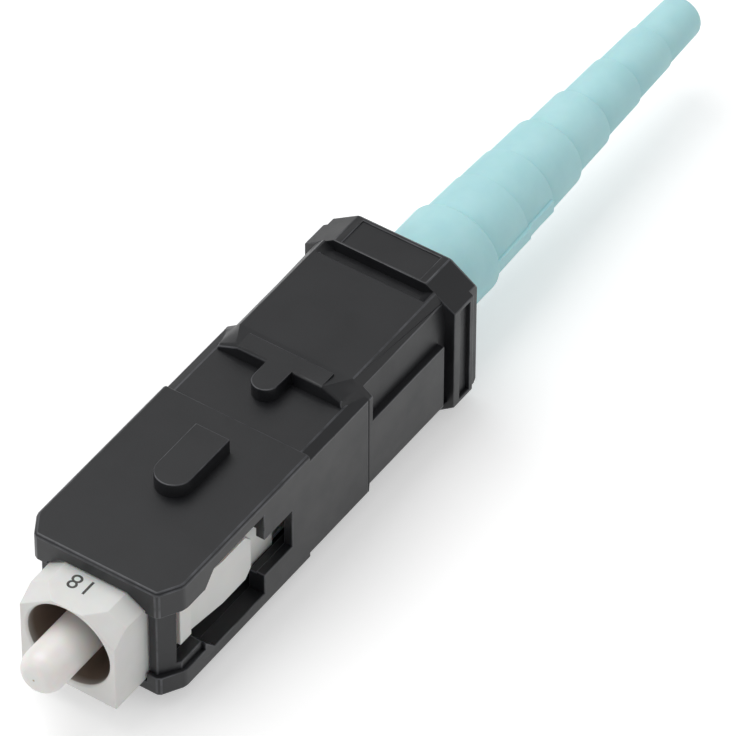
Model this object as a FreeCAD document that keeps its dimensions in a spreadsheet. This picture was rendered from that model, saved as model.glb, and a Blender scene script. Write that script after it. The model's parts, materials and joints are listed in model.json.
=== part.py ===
import FreeCAD, Part
import os
import Sketcher
from FreeCAD import Placement, Rotation, Vector

# SC fibre connector with a push-pull grip and a mechanical splice inside, in millimetres.
# +Y runs from the mating end to the boot, +Z is the side with the key, X = Z = 0 is the ferrule's axis,
# and Y = 0 is the front face of the grip as it sits between the two ends of its travel.

SIZES = {
    # the grip: a moulded sleeve, 9.0 x 7.4 mm outside
    "grip_width": 9.0,
    "grip_height": 7.4,
    "corner_in": 0.76,
    "corner_back": 1.29,
    "top_plate": 1.75,
    "bottom_plate": 1.3,
    "plate_overhang": 0.25,
    "plate_bevel": 0.14,
    "plate_end": 12.2,
    "deck_drop": 0.12,
    "block_end": 17.5,
    "shoulder_in": 0.6,
    "shoulder_down": 0.28,
    "key_width": 2.1,
    "key_start": 5.75,
    "key_end": 10.15,
    "key_height": 0.9,
    # the ledge across the middle of the grip and its thumb tab
    "ledge_start": 15.9,
    "ledge_end": 17.1,
    "ledge_rise": 0.75,
    "ledge_top_width": 5.2,
    "ledge_edge_width": 7.5,
    "ledge_edge_drop": 0.5,
    "ledge_bevel": 0.13,
    "tab_width": 1.5,
    "tab_reach": 1.9,
    # the waist behind the ledge
    "waist_end": 24.2,
    "waist_height": 8.56,
    "waist_top_width": 7.0,
    "waist_edge_width": 7.8,
    "waist_edge_height": 7.48,
    "waist_cheek_width": 8.2,
    "rail_start": 17.8,
    "rail_top": 1.55,
    "rail_bottom": 2.75,
    # the collar at the grip's rear end
    "collar_start": 24.95,
    "collar_end": 27.4,
    "collar_width": 9.36,
    "collar_height": 9.2,
    "collar_corner_in": 1.82,
    "collar_corner_down": 1.24,
    "collar_bevel": 0.2,
    "slot_width": 6.7,
    "slot_depth": 0.75,
    "slot_taper": 0.65,
    "slot_lip": 0.16,
    "channel_start": 24.3,
    "channel_height": 6.3,
    "channel_depth": 0.45,
    "panel_width": 4.8,
    "panel_start": 25.1,
    "panel_end": 27.0,
    "panel_depth": 0.08,
    "cheek_start": 25.5,
    "cheek_end": 26.4,
    "cheek_height": 6.3,
    "cheek_depth": 0.25,
    "cheek_rib": 0.3,
    # windows in the grip's sides, where the adapter's hooks come through
    "front_wall": 0.74,
    "window_start": 1.1,
    "window_neck_height": 3.8,
    "window_neck_end": 3.0,
    "window_wide_start": 3.8,
    "window_wide_height": 5.6,
    "window_wide_end": 8.15,
    "window_tail_end": 10.6,
    "window_tail_top": 1.05,
    "window_tail_drop": 1.5,
    # the plug frame that slides inside the grip
    "frame_front": 2.45,
    "frame_end": 21.5,
    "nose_width": 5.8,
    "nose_top": 2.7,
    "nose_bottom": 2.9,
    "nose_corner_in": 1.06,
    "nose_corner_down": 0.65,
    "nose_taper": 1.0,
    "nose_taper_in": 0.95,
    "nose_taper_down": 0.75,
    "nose_end": 1.75,
    "frame_width": 6.7,
    "frame_height": 5.7,
    "frame_corner_in": 0.9,
    "frame_corner_down": 1.0,
    "frame_mouth": 5.0,
    "frame_mouth_end": 3.6,
    "frame_mouth_bevel": 0.12,
    "frame_web": 1.0,
    "frame_cavity": 4.8,
    "bar_start": 1.75,
    "bar_end": 2.7,
    "bar_height": 2.7,
    "boss_width": 7.7,
    "boss_height": 3.0,
    "boss_ramp_width": 7.1,
    "boss_ramp_end": 5.4,
    "boss_end": 7.9,
    "boss_corner": 0.5,
    "recess_start": 10.45,
    "recess_end": 13.6,
    "recess_width": 5.5,
    "lug_start": 19.0,
    "lug_length": 1.4,
    "lug_ramp": 0.6,
    "lug_rise": 0.5,
    "lug_root": 0.2,
    "lug_width": 3.0,
    # how far the grip travels, and the running gaps round the frame
    "grip_back_travel": 0.9,
    "grip_forward_travel": 0.6,
    "side_gap": 0.15,
    "boss_gap": 0.1,
    "nose_gap": 0.08,
    # the ferrule and the fibre bonded in it
    "ferrule_diameter": 2.5,
    "ferrule_front": 5.3,
    "ferrule_length": 10.5,
    "ferrule_face": 1.5,
    "ferrule_bevel": 0.5,
    "ferrule_round": 0.3,
    "ferrule_shank_diameter": 2.1,
    "fibre_diameter": 0.125,
    "fibre_gap": 0.004,
    "fibre_end": 13.4,
    # the holder that carries the ferrule and the splice
    "holder_diameter": 2.7,
    "holder_nose_diameter": 3.7,
    "holder_nose_start": 2.6,
    "holder_flange_diameter": 4.6,
    "holder_flange_length": 1.6,
    "holder_notch": 0.6,
    "fibre_channel": 0.75,
    "holder_end": 20.8,
    "splice_bore": 1.9,
    "splice_start": 6.8,
    "splice_end": 20.0,
    "splice_gap": 0.02,
    "groove_depth": 0.1,
    "keel_width": 0.8,
    "keel_start": 15.0,
    "keel_end": 19.6,
    "keel_gap": 0.05,
    "keel_proud": 0.03,
    # the cam that closes the splice
    "cam_start": 14.2,
    "cam_shoulder": 21.6,
    "cam_floor": 21.0,
    "cam_diameter": 3.4,
    "cam_gap": 0.05,
    "cam_relief": 0.1,
    "cam_neck_diameter": 2.8,
    "cam_neck_bore": 1.8,
    "cam_end": 33.6,
    "cam_flats": 2.2,
    "cam_flats_length": 0.9,
    # the lead-in tube and the crimp tube on its end
    "tube_diameter": 1.5,
    "tube_bore": 1.0,
    "tube_end": 35.6,
    "tube_funnel": 0.3,
    "crimp_diameter": 2.0,
    "crimp_overlap": 1.0,
    "crimp_reach": 2.0,
    "buffer_bore": 1.1,
    # the spring behind the ferrule
    "float_travel": 1.0,
    "spring_diameter": 4.4,
    "spring_wire": 0.42,
    "spring_turns": 5.0,
    "spring_clearance": 0.02,
    # the retainer that snaps into the plug frame and carries the boot
    "retainer_start": 13.2,
    "retainer_gap": 0.05,
    "retainer_bore": 3.6,
    "retainer_flange_diameter": 5.6,
    "retainer_flange_length": 1.9,
    "retainer_flange_wall": 0.5,
    "barrel_diameter": 3.8,
    "barrel_bore": 3.0,
    "barrel_end": 32.6,
    "barrel_ring_depth": 0.12,
    "barrel_ring_width": 0.8,
    "ear_start": 16.0,
    "ear_length": 1.5,
    "ear_width": 1.4,
    "ear_reach": 3.1,
    "ear_flat": 0.4,
    "ear_gap": 0.1,
    # the boot: a rubber sleeve of seven rings, each smaller than the one before it
    "boot_front_gap": 0.2,
    "boot_base_diameter": 5.7,
    "boot_base_end": 32.1,
    "boot_ring_1": 5.2,
    "boot_ring_2": 4.92,
    "boot_ring_3": 4.56,
    "boot_ring_4": 3.92,
    "boot_ring_5": 3.42,
    "boot_ring_6": 3.06,
    "boot_ring_7": 2.74,
    "boot_lip": 0.12,
    "boot_end": 54.3,
    "boot_rib_end": 37.6,
    "boot_rib_width": 0.8,
    "boot_rib_proud": 0.14,
    "boot_room": 0.6,
    "boot_wall_gap": 0.2,
}
BARREL_RINGS = 3
BOOT_RINGS = 7

doc = FreeCAD.newDocument("sc_fibre_connector")
sheet = doc.addObject("Spreadsheet::Sheet", "sizes")


class Size:
    """A length and the formula on the sheet that gives it."""

    def __init__(self, value, formula):
        self.value = float(value)
        self.formula = formula

    def combine(self, sign, other, value):
        return Size(value, f"({self.formula} {sign} {other.formula})")

    def __add__(self, other):
        other = as_size(other)
        return self.combine("+", other, self.value + other.value)

    def __sub__(self, other):
        other = as_size(other)
        return self.combine("-", other, self.value - other.value)

    def __mul__(self, other):
        other = as_size(other)
        return self.combine("*", other, self.value * other.value)

    def __truediv__(self, other):
        other = as_size(other)
        return self.combine("/", other, self.value / other.value)

    def __radd__(self, other):
        return as_size(other) + self

    def __rsub__(self, other):
        return as_size(other) - self

    def __rmul__(self, other):
        return as_size(other) * self

    def __neg__(self):
        return as_size(0) - self


def as_size(number):
    return number if isinstance(number, Size) else Size(number, str(float(number)))


class Sheet:
    """The sheet's cells as attributes, so that g.grip_width is that cell."""


g = Sheet()
for row, (name, number) in enumerate(SIZES.items(), 1):
    sheet.set(f"A{row}", name)
    sheet.set(f"B{row}", str(number))
    sheet.setAlias(f"B{row}", name)
    setattr(g, name, Size(number, f"sizes.{name}"))
doc.recompute()

# places along Y that several pieces share
ferrule_back = g.ferrule_length - g.ferrule_front
web_back = g.frame_mouth_end + g.frame_web
flange_back = web_back + g.holder_flange_length
retainer_flange_back = g.frame_end + g.retainer_flange_length
crimp_back = g.tube_end + g.crimp_reach


# ---------------------------------------------------------------- helpers for bodies and sketches

def bind(thing, where, size):
    """Ties a property or a constraint to the sheet."""
    thing.setExpression(where, as_size(size).formula)


def new_body(label):
    body = doc.addObject("PartDesign::Body", label)
    body.Label = label
    return body


def origin_feature(body, role):
    return [item for item in body.Origin.OriginFeatures if item.Role == role][0]


def new_sketch(body, plane, height=0):
    """A sketch on one of the body's own origin planes, moved along that plane's normal."""
    sketch = body.newObject("Sketcher::SketchObject", f"{body.Label}_sketch")
    sketch.AttachmentSupport = [(origin_feature(body, f"{plane}_Plane"), "")]
    sketch.MapMode = "FlatFace"
    bind(sketch, ".AttachmentOffset.Base.z", height)
    return sketch


def pin_point(sketch, geometry, which, point):
    """Holds one point of a sketch at a place worked out from the sheet."""
    for kind, size in zip(("DistanceX", "DistanceY"), map(as_size, point)):
        rule = Sketcher.Constraint(kind, -1, 1, geometry, which, size.value)
        bind(sketch, f"Constraints[{sketch.addConstraint(rule)}]", size)


def add_polygon(sketch, points):
    corners = [Vector(as_size(u).value, as_size(v).value, 0) for u, v in points]
    count = len(corners)
    first = sketch.GeometryCount
    for i, corner in enumerate(corners):
        sketch.addGeometry(Part.LineSegment(corner, corners[(i + 1) % count]))
    for i, point in enumerate(points):
        nxt = first + (i + 1) % count
        sketch.addConstraint(Sketcher.Constraint("Coincident", first + i, 2, nxt, 1))
        pin_point(sketch, first + i, 1, point)


def add_circle(sketch, centre, radius):
    middle = Vector(as_size(centre[0]).value, as_size(centre[1]).value, 0)
    ring = sketch.addGeometry(Part.Circle(middle, Vector(0, 0, 1), radius.value))
    rule = sketch.addConstraint(Sketcher.Constraint("Radius", ring, radius.value))
    bind(sketch, f"Constraints[{rule}]", radius)
    pin_point(sketch, ring, 3, centre)


def rectangle(u_low, u_high, v_low, v_high):
    return [(u_low, v_low), (u_high, v_low), (u_high, v_high), (u_low, v_high)]


def mirrored(points):
    """The right half of an outline, from top to bottom, made whole across the vertical axis."""
    return points + [(-u, v) for u, v in reversed(points)]


def extrude(kind, body, sketch, length, centred=False, backwards=False):
    """A Pad or a Pocket. On the XZ plane a Pad runs towards +Y when it is turned backwards."""
    feature = body.newObject(f"PartDesign::{kind}", f"{body.Label}_{kind.lower()}")
    feature.Profile = sketch
    bind(feature, "Length", length)
    feature.Midplane = centred
    feature.Reversed = backwards
    return feature


def along(kind, body, outlines, start, end):
    """Adds or cuts prisms with an XZ outline between two places along Y."""
    sketch = new_sketch(body, "XZ", -as_size(start))
    for outline in outlines:
        add_polygon(sketch, outline)
    return extrude(kind, body, sketch, as_size(end) - start, backwards=kind == "Pad")


def across(kind, body, outlines, width):
    """Adds or cuts prisms with a YZ outline, centred on X = 0."""
    sketch = new_sketch(body, "YZ")
    for outline in outlines:
        add_polygon(sketch, outline)
    return extrude(kind, body, sketch, width, centred=True)


def turn(kind, body, outline):
    """A Revolution or a Groove about Y of an outline of (radius, y) points."""
    sketch = new_sketch(body, "XY")
    add_polygon(sketch, outline)
    feature = body.newObject(f"PartDesign::{kind}", f"{body.Label}_{kind.lower()}")
    feature.Profile = sketch
    feature.ReferenceAxis = (sketch, ["V_Axis"])
    feature.Angle = 360
    return feature


def find_edges(feature, test):
    """The names of the edges whose two ends both pass a test of (x, y, z)."""
    doc.recompute()
    return [f"Edge{i}" for i, edge in enumerate(feature.Shape.Edges, 1)
            if all(test(v.X, v.Y, v.Z) for v in edge.Vertexes)]


def soften(kind, body, size, test):
    """A Chamfer or a Fillet on the edges of the body's tip that pass a test."""
    base = body.Tip
    names = find_edges(base, test)
    feature = body.newObject(f"PartDesign::{kind}", f"{body.Label}_{kind.lower()}")
    feature.Base = (base, names)
    bind(feature, "Size" if kind == "Chamfer" else "Radius", size)
    return feature


def near(a, b):
    return abs(a - as_size(b).value) < 1e-4


# ---------------------------------------------------------------- the ferrule and its fibre

def make_ferrule():
    body = new_body("ferrule")
    radius, shank = g.ferrule_diameter / 2, g.ferrule_shank_diameter / 2
    tip, hole = -g.ferrule_front, g.fibre_diameter / 2 + g.fibre_gap
    turn("Revolution", body, [
        (hole, tip), (g.ferrule_face / 2, tip), (radius, tip + g.ferrule_bevel),
        (radius, g.holder_nose_start), (shank, g.holder_nose_start),
        (shank, ferrule_back), (hole, ferrule_back)])
    soften("Fillet", body, g.ferrule_round, lambda x, y, z: near(y, tip + g.ferrule_bevel))
    return body


def make_fibre():
    fibre = doc.addObject("Part::Cylinder", "fibre_stub")
    fibre.Label = "fibre_stub"
    bind(fibre, "Radius", g.fibre_diameter / 2)
    bind(fibre, "Height", g.fibre_end + g.ferrule_front)
    fibre.Placement = Placement(Vector(), Rotation(Vector(1, 0, 0), -90))
    bind(fibre, "Placement.Base.y", -g.ferrule_front)
    return fibre


# ---------------------------------------------------------------- the holder and the splice

def make_holder():
    """The holder is moulded over the ferrule's shank."""
    body = new_body("ferrule_holder")
    shank, channel = g.ferrule_shank_diameter / 2, g.fibre_channel / 2
    turn("Revolution", body, [
        (shank, g.holder_nose_start),
        (g.holder_nose_diameter / 2, g.holder_nose_start),
        (g.holder_nose_diameter / 2, web_back),
        (g.holder_flange_diameter / 2, web_back),
        (g.holder_flange_diameter / 2, flange_back),
        (g.holder_diameter / 2, flange_back),
        (g.holder_diameter / 2, g.holder_end),
        (g.splice_bore / 2, g.holder_end),
        (g.splice_bore / 2, g.splice_start),
        (channel, g.splice_start),
        (channel, ferrule_back),
        (shank, ferrule_back)])
    reach = g.holder_flange_diameter / 2 - g.holder_notch / 2
    outer = g.holder_flange_diameter
    notch = along("Pocket", body, [rectangle(-g.holder_notch / 2, g.holder_notch / 2, reach, outer)],
                  web_back, flange_back)
    four = body.newObject("PartDesign::PolarPattern", "holder_notches")
    four.Originals = [notch]
    four.Axis = (origin_feature(body, "Y_Axis"), [""])
    four.Angle = 360
    four.Occurrences = 4
    body.Tip = four
    window = g.keel_width / 2 + g.keel_gap
    along("Pocket", body, [rectangle(-window, window, 0, g.holder_diameter)],
          g.keel_start - g.keel_gap, g.keel_end + g.keel_gap)
    return body


def make_splice_half(label, upper):
    """Half of the round splice bar: the lower one is grooved for the fibre, the upper one has the keel."""
    body = new_body(label)
    sketch = new_sketch(body, "XZ", -g.splice_start)
    add_circle(sketch, (0, 0), g.splice_bore / 2 - g.splice_gap)
    extrude("Pad", body, sketch, g.splice_end - g.splice_start, backwards=True)
    wide, joint, gap = g.splice_bore, g.fibre_diameter / 2, g.splice_gap / 2
    low, high = (-wide, joint + gap) if upper else (joint - gap, wide)
    along("Pocket", body, [rectangle(-wide, wide, low, high)], g.splice_start, g.splice_end)
    if upper:
        half, top = g.keel_width / 2, g.holder_diameter / 2 + g.keel_proud
        along("Pad", body, [rectangle(-half, half, g.splice_bore / 4, wide)], g.keel_start, g.keel_end)
        turn("Groove", body, [(top, g.keel_start), (wide * 2, g.keel_start),
                              (wide * 2, g.keel_end), (top, g.keel_end)])
    else:
        reach = g.groove_depth + joint
        along("Pocket", body, [[(-reach, joint), (0, -g.groove_depth), (reach, joint)]],
              g.splice_start, g.splice_end)
    return body


def make_cam():
    body = new_body("cam_sleeve")
    bore = g.holder_diameter / 2 + g.cam_gap
    neck = g.cam_neck_diameter / 2
    turn("Revolution", body, [
        (bore, g.cam_start), (g.cam_diameter / 2, g.cam_start),
        (g.cam_diameter / 2, g.cam_shoulder), (neck, g.cam_shoulder), (neck, g.cam_end),
        (g.cam_neck_bore / 2, g.cam_end), (g.cam_neck_bore / 2, g.cam_floor), (bore, g.cam_floor)])
    half = g.keel_width / 2 + g.cam_relief
    along("Pocket", body, [rectangle(-half, half, 0, bore + g.cam_relief)],
          g.cam_start, g.keel_end + g.cam_relief)
    flat = g.cam_flats / 2
    along("Pocket", body, [rectangle(flat, neck * 2, -neck, neck), rectangle(-neck * 2, -flat, -neck, neck)],
          g.cam_end - g.cam_flats_length, g.cam_end)
    return body


def make_lead_in_tube():
    body = new_body("lead_in_tube")
    plug = g.splice_bore / 2
    front = g.splice_end + g.splice_gap
    turn("Revolution", body, [
        (g.tube_bore / 2, front), (plug, front), (plug, g.holder_end),
        (g.tube_diameter / 2, g.holder_end), (g.tube_diameter / 2, g.tube_end),
        (g.tube_bore / 2 + g.tube_funnel / 2, g.tube_end),
        (g.tube_bore / 2, g.tube_end - g.tube_funnel)])
    return body


def make_crimp_tube():
    body = new_body("crimp_tube")
    front = g.tube_end - g.crimp_overlap
    turn("Revolution", body, [
        (g.tube_diameter / 2, front), (g.crimp_diameter / 2, front),
        (g.crimp_diameter / 2, crimp_back), (g.buffer_bore / 2, crimp_back),
        (g.buffer_bore / 2, g.tube_end), (g.tube_diameter / 2, g.tube_end)])
    return body


# ---------------------------------------------------------------- the spring and its retainer

def make_spring():
    """The wire's section is drawn with six sides."""
    body = new_body("coil_spring")
    wire, slant, flank = g.spring_wire / 2, g.spring_wire / 4, g.spring_wire / 4 * 3 ** 0.5
    start = flange_back + wire + g.spring_clearance
    centre = g.spring_diameter / 2 - wire
    sketch = new_sketch(body, "XY")
    add_polygon(sketch, [(centre + u, start + v) for u, v in (
        (flank, slant), (0, wire), (-flank, slant), (-flank, -slant), (0, -wire), (flank, -slant))])
    coil = body.newObject("PartDesign::AdditiveHelix", "coil")
    coil.Profile = sketch
    coil.ReferenceAxis = (sketch, ["V_Axis"])
    coil.Mode = "height-turns-angle"
    bind(coil, "Height", g.retainer_start - wire - g.spring_clearance - start)
    bind(coil, "Turns", g.spring_turns)
    return body


def make_retainer():
    body = new_body("spring_retainer")
    outer = g.frame_cavity / 2 - g.retainer_gap
    barrel, groove = g.barrel_diameter / 2, g.barrel_diameter / 2 - g.barrel_ring_depth
    outline = [(g.retainer_bore / 2, g.retainer_start), (outer, g.retainer_start), (outer, g.frame_end),
               (g.retainer_flange_diameter / 2, g.frame_end),
               (g.retainer_flange_diameter / 2, retainer_flange_back),
               (barrel, retainer_flange_back)]
    pitch = (g.barrel_end - retainer_flange_back) / (BARREL_RINGS + 1)
    for ring in range(1, BARREL_RINGS + 1):
        start = retainer_flange_back + pitch * ring
        end = start + g.barrel_ring_width
        outline += [(barrel, start), (groove, start), (groove, end), (barrel, end)]
    step = retainer_flange_back - g.retainer_flange_wall
    outline += [(barrel, g.barrel_end), (g.barrel_bore / 2, g.barrel_end),
                (g.barrel_bore / 2, step), (g.retainer_bore / 2, step)]
    turn("Revolution", body, outline)
    reach, root = g.ear_reach, (g.retainer_bore / 2 + outer) / 2
    end = g.ear_start + g.ear_length
    plan = new_sketch(body, "XY")
    for side in (1, -1):
        add_polygon(plan, [(side * root, g.ear_start), (side * outer, g.ear_start),
                           (side * reach, end - g.ear_flat), (side * reach, end), (side * root, end)])
    extrude("Pad", body, plan, g.ear_width, centred=True)
    return body


# ---------------------------------------------------------------- the plug frame

def nose_outline(cut_in, cut_down):
    half = g.nose_width / 2
    return mirrored([(half - cut_in, g.nose_top), (half, g.nose_top - cut_down), (half, -g.nose_bottom)])


def octagon(width, height, cut_in, cut_down):
    half, top = width / 2, height / 2
    return mirrored([(half - cut_in, top), (half, top - cut_down),
                     (half, cut_down - top), (half - cut_in, -top)])


def make_plug_frame():
    body = new_body("plug_frame")
    straight = g.nose_taper - g.frame_front
    full = nose_outline(g.nose_corner_in, g.nose_corner_down)
    small = nose_outline(g.nose_corner_in + g.nose_taper_in, g.nose_corner_down + g.nose_taper_down)
    back_sketch = new_sketch(body, "XZ", -straight)
    add_polygon(back_sketch, full)
    front_sketch = new_sketch(body, "XZ", g.frame_front)
    add_polygon(front_sketch, small)
    taper = body.newObject("PartDesign::AdditiveLoft", "nose_taper_loft")
    taper.Profile = back_sketch
    taper.Sections = [front_sketch]
    taper.Ruled = True
    along("Pad", body, [full], straight, g.nose_end)
    along("Pad", body, [octagon(g.frame_width, g.frame_height, g.frame_corner_in, g.frame_corner_down)],
          g.nose_end, g.frame_end)

    # on each side a bar across the front, then the boss with its long ramp, which the adapter's hooks ride over
    wide, low = g.boss_width / 2, g.boss_height / 2
    bar = new_sketch(body, "XY")
    add_polygon(bar, rectangle(-wide, wide, g.bar_start, g.bar_end))
    extrude("Pad", body, bar, g.bar_height, centred=True)
    end, cut = g.boss_end, g.boss_corner
    across("Pad", body, [[(g.bar_end, -low), (end - cut, -low), (end, cut - low),
                          (end, low - cut), (end - cut, low), (g.bar_end, low)]], g.boss_width)
    ramp = new_sketch(body, "XY")
    for side in (1, -1):
        add_polygon(ramp, [(side * g.boss_ramp_width / 2, g.bar_end), (side * wide, g.boss_ramp_end),
                           (side * g.boss_width, g.boss_ramp_end), (side * g.boss_width, g.bar_end)])
    extrude("Pocket", body, ramp, g.boss_height * 2, centred=True)

    # the stop lugs, above and below, that limit the grip's travel
    top = g.frame_height / 2
    start, stop = g.lug_start, g.lug_start + g.lug_length
    across("Pad", body, [
        [(start - g.lug_ramp, side * (top - g.lug_root)), (start - g.lug_ramp, side * top),
         (start, side * (top + g.lug_rise)), (stop, side * (top + g.lug_rise)),
         (stop, side * (top - g.lug_root))] for side in (1, -1)], g.lug_width)

    # the mouth round the ferrule, the web that stops the holder and the cavity behind it
    mouth, web, cavity = g.frame_mouth / 2, g.holder_nose_diameter / 2 + g.boss_gap, g.frame_cavity / 2
    flare, front, wall = mouth + g.frame_mouth_bevel, -g.frame_front, g.frame_mouth_end
    turn("Groove", body, [
        (0, front - 1), (flare, front - 1), (flare, front), (mouth, front + g.frame_mouth_bevel),
        (mouth, wall), (web, wall), (web, web_back), (cavity, web_back),
        (cavity, g.frame_end + 1), (0, g.frame_end + 1)])

    # side recesses and the windows that the retainer's ears snap into
    side_room = g.frame_width
    floor = g.recess_width / 2
    across_pockets = new_sketch(body, "XY")
    for side in (1, -1):
        add_polygon(across_pockets, [(side * floor, g.recess_start), (side * side_room, g.recess_start),
                                     (side * side_room, g.recess_end), (side * floor, g.recess_end)])
    extrude("Pocket", body, across_pockets, g.frame_height - g.frame_corner_down, centred=True)
    ear = g.ear_width / 2 + g.ear_gap
    across("Pocket", body, [rectangle(g.ear_start - g.ear_gap, g.ear_start + g.ear_length + g.ear_gap,
                                      -ear, ear)], g.frame_width * 2)
    return body


# ---------------------------------------------------------------- the grip

def make_grip():
    body = new_body("outer_housing")
    half, top = g.grip_width / 2, g.grip_height / 2

    # the block, with its two front corners cut off in plan
    plan = new_sketch(body, "XY")
    add_polygon(plan, mirrored([(half, g.block_end), (half, g.corner_back), (half - g.corner_in, 0)]))
    extrude("Pad", body, plan, g.grip_height, centred=True)
    soften("Chamfer", body, g.plate_bevel,
           lambda x, y, z: near(abs(z), top) and y < g.corner_back.value + 0.01
           or near(abs(z), top) and near(abs(x), half))

    # the front wall and its side columns stand back a little under the edges of the two plates
    hang, inner, outer = g.plate_overhang, half - g.plate_overhang, g.grip_width
    bottom = g.bottom_plate - top
    plan = new_sketch(body, "XY", bottom)
    add_polygon(plan, [(outer, g.window_neck_end), (outer, -1), (-outer, -1), (-outer, g.window_neck_end),
                       (-inner, g.window_neck_end), (-inner, g.corner_back),
                       (hang + g.corner_in - half, hang), (half - hang - g.corner_in, hang),
                       (inner, g.corner_back), (inner, g.window_neck_end)])
    extrude("Pocket", body, plan, top - g.top_plate - bottom, backwards=True)

    # the lower deck behind the plates, with its edges taken down
    deck = top - g.deck_drop
    across("Pocket", body, [[(g.plate_end, side * deck), (g.block_end + 1, side * deck),
                             (g.block_end + 1, side * outer), (g.plate_end, side * outer)]
                            for side in (1, -1)], outer * 2)
    edge, low = half - g.shoulder_in, deck - g.shoulder_down
    along("Pocket", body, [[(sx * edge, sz * deck), (sx * half, sz * low), (sx * outer, sz * low),
                            (sx * outer, sz * outer), (sx * edge, sz * outer)]
                           for sx in (1, -1) for sz in (1, -1)], g.plate_end, g.block_end + 1)

    # the ledge, which flows back into the waist, its thumb tab and the key
    waist_top, cheek = g.waist_height / 2, g.waist_cheek_width / 2
    edge, edge_high, flat = g.waist_edge_width / 2, g.waist_edge_height / 2, g.waist_top_width / 2
    rise, lip = top + g.ledge_rise, g.ledge_top_width / 2
    shoulder, wing = rise - g.ledge_edge_drop, g.ledge_edge_width / 2
    front_half = [(lip, rise), (wing, shoulder), (half - g.shoulder_in, low)]
    back_half = [(flat, waist_top), (edge, edge_high), (half, low)]
    faces = []
    for quarter, place in ((front_half, g.ledge_start), (back_half, g.block_end)):
        face = new_sketch(body, "XZ", -place)
        add_polygon(face, mirrored(quarter + [(x, -z) for x, z in reversed(quarter)]))
        faces.append(face)
    ledge = body.newObject("PartDesign::AdditiveLoft", "ledge_loft")
    ledge.Profile, ledge.Sections = faces[0], faces[1:]
    ledge.Ruled = True
    along("Pad", body, [rectangle(-lip, lip, -rise, rise)], g.ledge_start, g.ledge_end)
    soften("Chamfer", body, g.ledge_bevel,
           lambda x, y, z: near(y, g.ledge_start) and abs(z) > shoulder.value - 0.01)
    tab_front, tall = g.ledge_start - g.tab_reach + g.tab_width / 2, g.frame_height / 2 + g.side_gap
    for width, front, back, height in (
            (g.tab_width, tab_front, g.ledge_end, rise),
            (g.key_width, g.key_start + g.key_width / 2, g.key_end, top + g.key_height)):
        block = new_sketch(body, "XY", tall)
        add_polygon(block, rectangle(-width / 2, width / 2, front, back))
        extrude("Pad", body, block, height - tall)
        nose = new_sketch(body, "XY", tall)
        add_circle(nose, (0, front), width / 2)
        extrude("Pad", body, nose, height - tall)

    # the waist: an eight-sided sleeve with a rail along each side
    upper, lower = [(flat, waist_top), (edge, edge_high)], [(edge, -edge_high), (flat, -waist_top)]
    rail = [(half, g.rail_top), (half, -g.rail_bottom)]
    along("Pad", body, [mirrored(upper + [(cheek, g.rail_top)] + rail + lower)],
          g.block_end, g.collar_start)
    along("Pad", body, [mirrored(upper + [(half, low)] + rail + lower)], g.block_end, g.rail_start)

    # the collar, and the slot and channels in front of it
    along("Pad", body, [octagon(g.collar_width, g.collar_height, g.collar_corner_in,
                                g.collar_corner_down)], g.collar_start, g.collar_end)
    soften("Chamfer", body, g.collar_bevel, lambda x, y, z: near(y, g.collar_end))
    slot, depth = g.slot_width / 2, waist_top - g.slot_depth
    bed = slot - g.slot_taper
    along("Pocket", body, [[(-slot, side * waist_top), (-bed, side * depth), (bed, side * depth),
                            (slot, side * waist_top), (slot, side * outer), (-slot, side * outer)]
                           for side in (1, -1)], g.waist_end, g.collar_start)
    channel, inset = g.channel_height / 2, half - g.channel_depth
    along("Pocket", body, [rectangle(inset, outer, -channel, channel),
                           rectangle(-outer, -inset, -channel, channel)],
          g.channel_start, g.collar_start)
    soften("Chamfer", body, g.slot_lip,
           lambda x, y, z: near(y, g.waist_end) and near(abs(z), waist_top) and near(abs(x), slot))
    face, cover = g.collar_height / 2 - g.panel_depth, g.panel_width / 2
    for side in (1, -1):
        panel = new_sketch(body, "XY", side * face)
        add_polygon(panel, rectangle(-cover, cover, g.panel_start, g.panel_end))
        extrude("Pocket", body, panel, g.panel_depth * 2, backwards=side > 0)
    pit, reach = g.collar_width / 2 - g.cheek_depth, g.cheek_height / 2
    rear = g.cheek_end + g.cheek_rib
    for side in (1, -1):
        cheeks = new_sketch(body, "YZ", side * pit)
        add_polygon(cheeks, rectangle(g.cheek_start, g.cheek_end, -reach, reach))
        add_polygon(cheeks, rectangle(rear, g.collar_end + 1, -outer, outer))
        extrude("Pocket", body, cheeks, g.cheek_depth * 2, backwards=side > 0)

    # the tunnel for the plug frame, with side grooves for its bosses, and the opening for its nose
    wide = g.frame_width / 2 + g.side_gap
    groove, reach = g.boss_height / 2 + g.boss_gap, g.boss_width / 2 + g.boss_gap
    tunnel = mirrored([(wide, tall), (wide, groove), (reach, groove),
                       (reach, -groove), (wide, -groove), (wide, -tall)])
    along("Pocket", body, [tunnel], g.front_wall, g.collar_end + 1)
    nose, play = g.nose_width / 2 + g.nose_gap, g.nose_gap
    opening = mirrored([(nose - g.nose_corner_in, g.nose_top + play),
                        (nose, g.nose_top + play - g.nose_corner_down), (nose, -g.nose_bottom - play)])
    along("Pocket", body, [opening], -1, g.front_wall + 1)
    lug_top = g.frame_height / 2 + g.lug_rise + g.side_gap
    start = g.lug_start - g.grip_back_travel - g.boss_gap
    stop = g.lug_start + g.lug_length + g.grip_forward_travel + g.boss_gap
    across("Pocket", body, [[(start - g.lug_ramp, side * tall), (start, side * lug_top),
                             (stop, side * lug_top), (stop, side * 0), (start - g.lug_ramp, side * 0)]
                            for side in (1, -1)], g.lug_width + g.side_gap * 2)

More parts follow.
